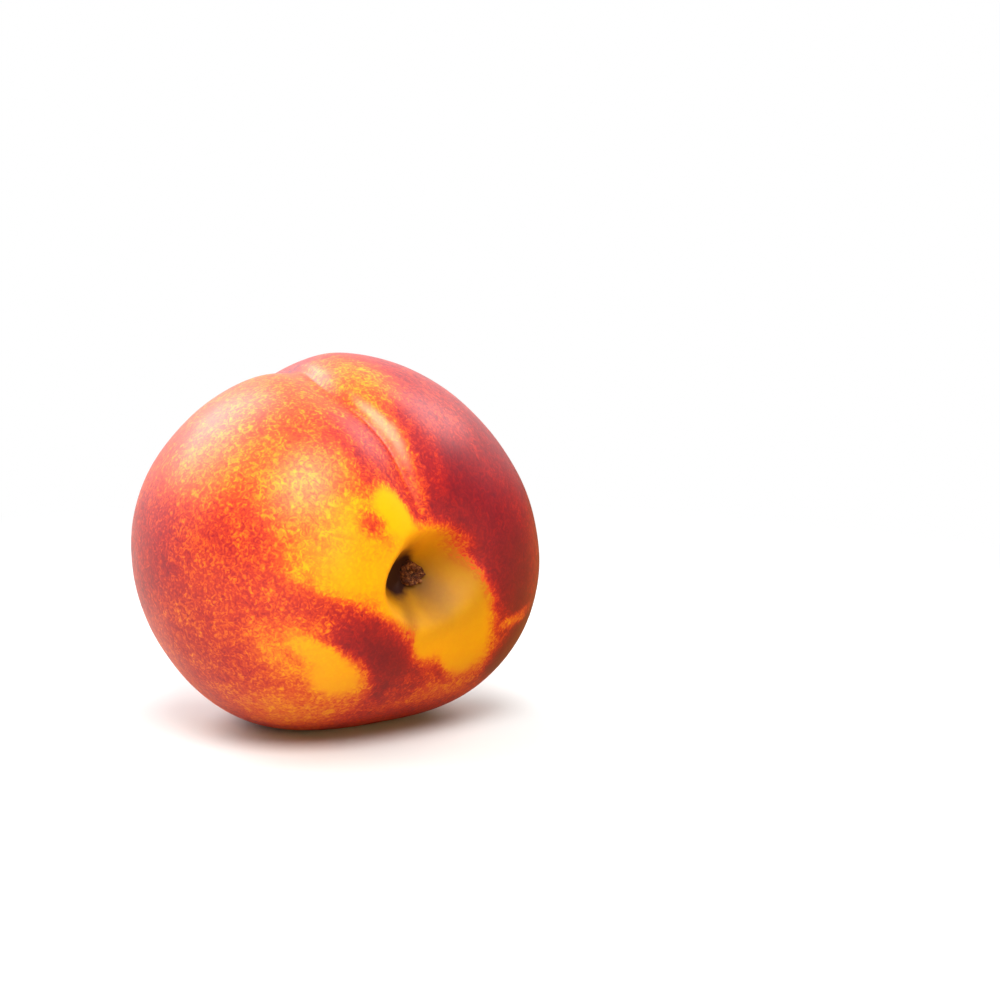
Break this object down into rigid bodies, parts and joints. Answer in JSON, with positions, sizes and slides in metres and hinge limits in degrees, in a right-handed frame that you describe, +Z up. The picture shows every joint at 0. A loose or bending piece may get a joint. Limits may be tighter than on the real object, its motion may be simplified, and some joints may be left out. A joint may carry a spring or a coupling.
{
  "type": "nectarine",
  "caption": "Ripe whole nectarine lying on its side, smooth blushed skin with a seam, a stem hollow and a dried stalk scar; food prop for bowls, crates and tables.",
  "frame": {"origin": "centre of the small flat spot that the fruit rests on", "axes": "+Z up, as the fruit lies; +X to the right and +Y away from someone who looks at it with the stem hollow turned to the front right and the seam on top"},
  "size_m": [0.0716, 0.0705, 0.0654],
  "materials": {
    "skin": "satin",
    "scar": "rough"
  },
  "bodies": {
    "root": {"nectarine": "skin", "stalk_scar": "scar"}
  },
  "joints": []
}
